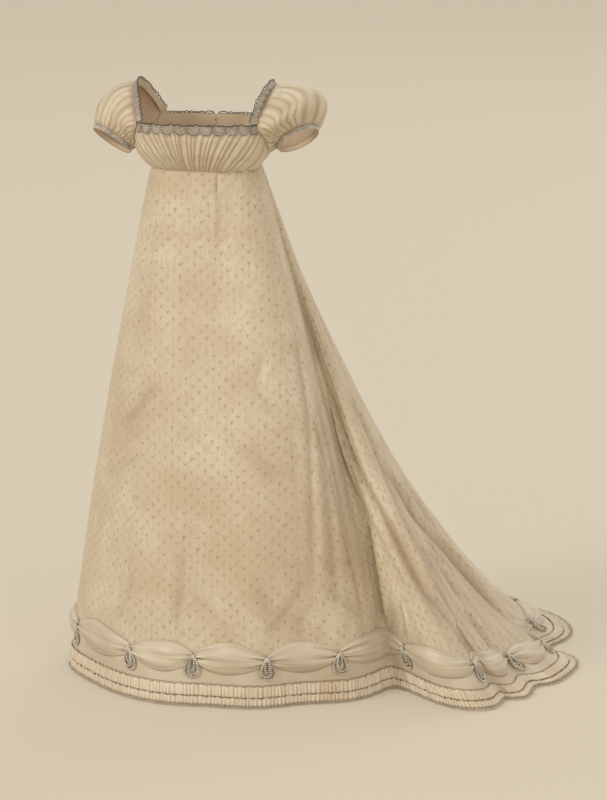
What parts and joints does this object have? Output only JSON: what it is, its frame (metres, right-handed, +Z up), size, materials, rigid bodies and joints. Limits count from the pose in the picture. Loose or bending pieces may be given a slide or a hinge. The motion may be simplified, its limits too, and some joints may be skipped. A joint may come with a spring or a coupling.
{
  "type": "wedding dress",
  "caption": "High-waisted silk wedding dress with a square gathered neck, short puffed sleeves, a swagged and flounced hem and a long train.",
  "frame": {"origin": "midway between the tops of the two shoulder straps, where the dress is held up", "axes": "+Z up along the dress; the front faces -Y; the wearer's left is +X, and the train sweeps to +X and +Y"},
  "size_m": [1.1305, 0.9412, 1.3171],
  "materials": {
    "silk": "soft figured silk",
    "satin": "satin",
    "flounce": "soft silk edged with lace",
    "lace": "matt metal-thread lace",
    "braid": "beaded braid",
    "beads": "strung glass and metal beads"
  },
  "bodies": {
    "root": {"skirt_front": "silk", "skirt_gore_left": "silk", "skirt_gore_right": "silk", "skirt_train_left": "silk", "skirt_train_right": "silk", "hem_band_front": "satin", "hem_band_back": "satin", "flounce_lower": "flounce", "flounce_upper": "flounce", "swag_1": "satin", "swag_2": "satin", "swag_3": "satin", "swag_4": "satin", "bead_loop_01": "beads", "bead_loop_02": "beads", "bead_loop_03": "beads", "bead_loop_04": "beads", "bead_loop_05": "beads", "bead_loop_06": "beads", "bead_loop_07": "beads", "bead_loop_08": "beads", "bead_loop_09": "beads", "bead_loop_10": "beads", "bead_loop_11": "beads", "bead_loop_12": "beads", "bead_loop_13": "beads", "bead_loop_14": "beads", "bead_loop_15": "beads", "bead_loop_16": "beads", "bead_loop_17": "beads", "bodice_front": "silk", "bodice_side_left": "silk", "bodice_side_right": "silk", "bodice_back_left": "silk", "bodice_back_right": "silk", "shoulder_strap_left": "silk", "shoulder_strap_right": "silk", "neck_lace_front": "lace", "neck_lace_back_left": "lace", "neck_lace_back_right": "lace", "neck_lace_strap_left": "lace", "neck_lace_strap_right": "lace", "sleeve_left": "silk", "sleeve_right": "silk", "cuff_braid_left": "braid", "cuff_braid_right": "braid"}
  },
  "joints": []
}
